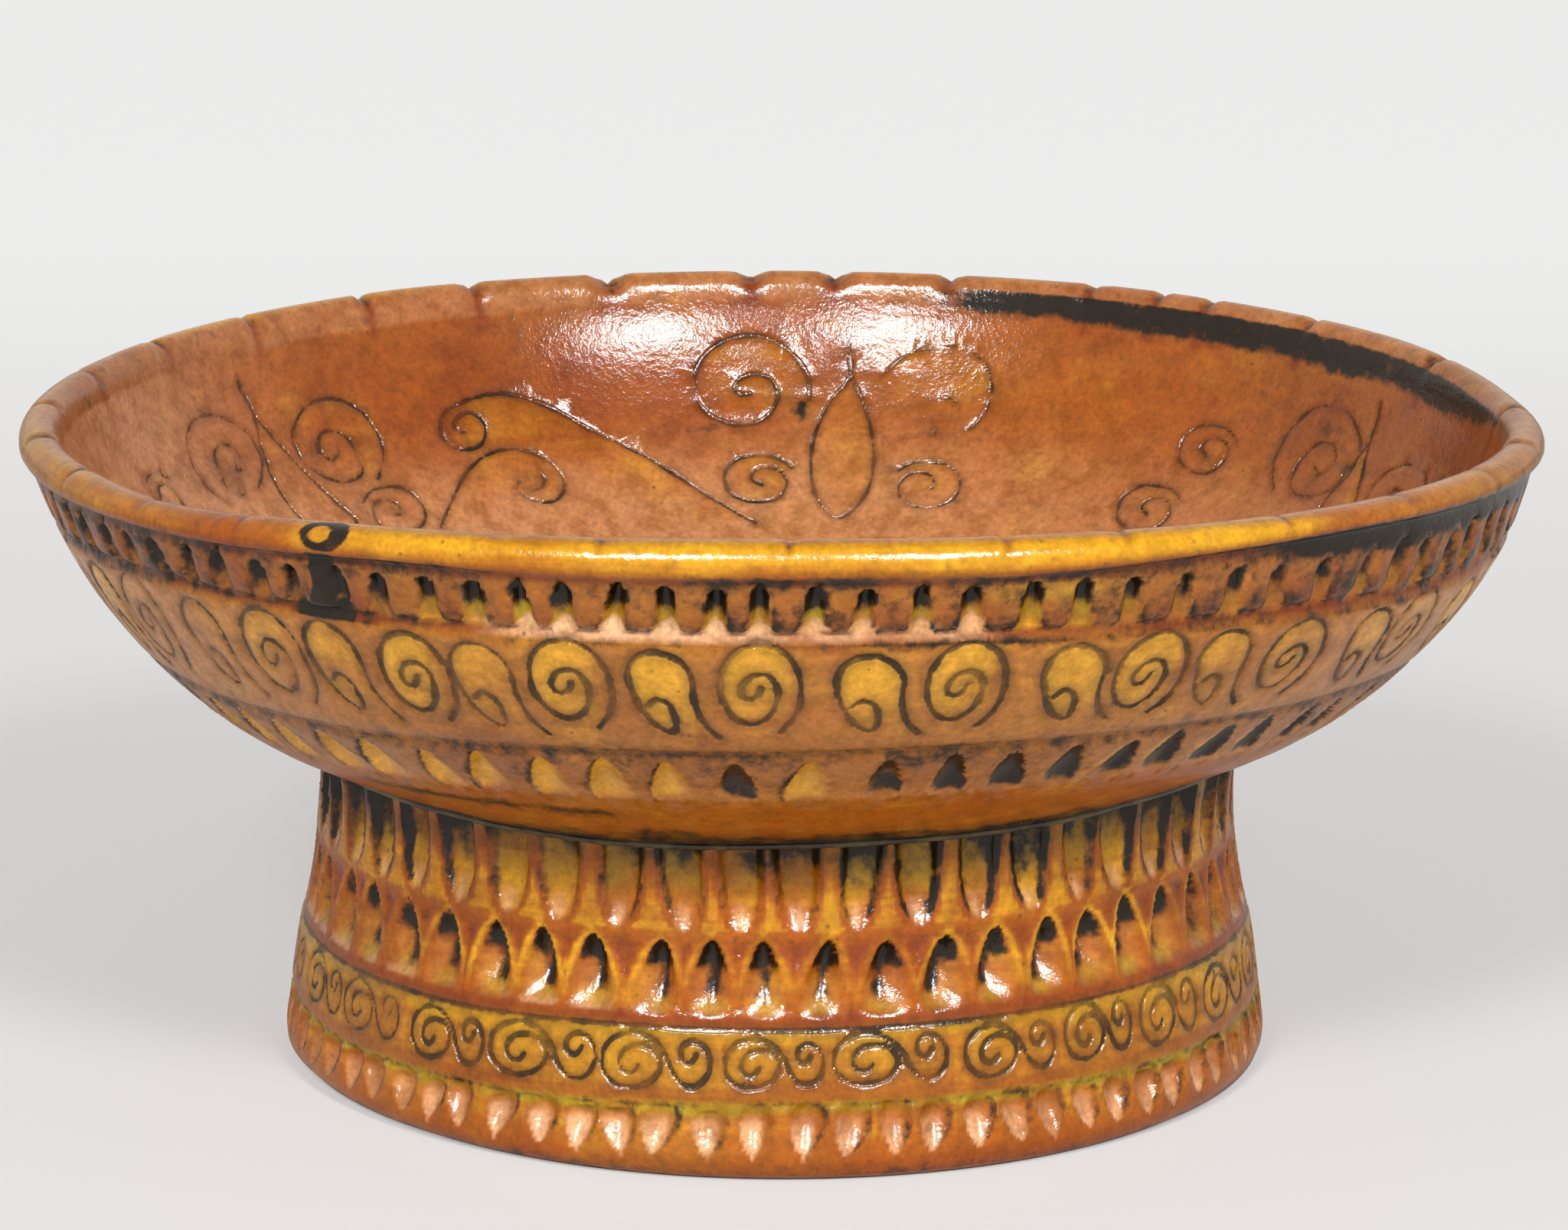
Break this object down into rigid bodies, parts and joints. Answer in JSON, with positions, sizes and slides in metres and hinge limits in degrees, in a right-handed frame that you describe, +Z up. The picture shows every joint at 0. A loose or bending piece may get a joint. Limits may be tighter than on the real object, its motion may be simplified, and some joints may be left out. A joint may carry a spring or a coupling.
{
  "type": "footed bowl",
  "caption": "Round footed bowl in carved, honey-glazed redware: an open basin with a rolled lip on a hollow flared foot, for fruit or display.",
  "frame": {"origin": "middle of the circle that the foot rests on, at table height", "axes": "+Z up through the middle of the bowl, the axis of turning"},
  "size_m": [0.28, 0.28, 0.124],
  "materials": {
    "honey_glaze": "glossy honey-brown lead-type glaze over carved redware, yellow slip in the scrolls, dark where it pools",
    "amber_glaze": "glossy amber glaze, darker in the carved flutes and arches",
    "dark_slip": "dark green-brown glaze pooled over a bead of slip",
    "bare_clay": "matt unglazed red clay with finger marks"
  },
  "bodies": {
    "root": {"bowl": "honey_glaze", "foot": "amber_glaze", "luting_slip": "dark_slip", "joint_coil": "bare_clay"}
  },
  "joints": []
}
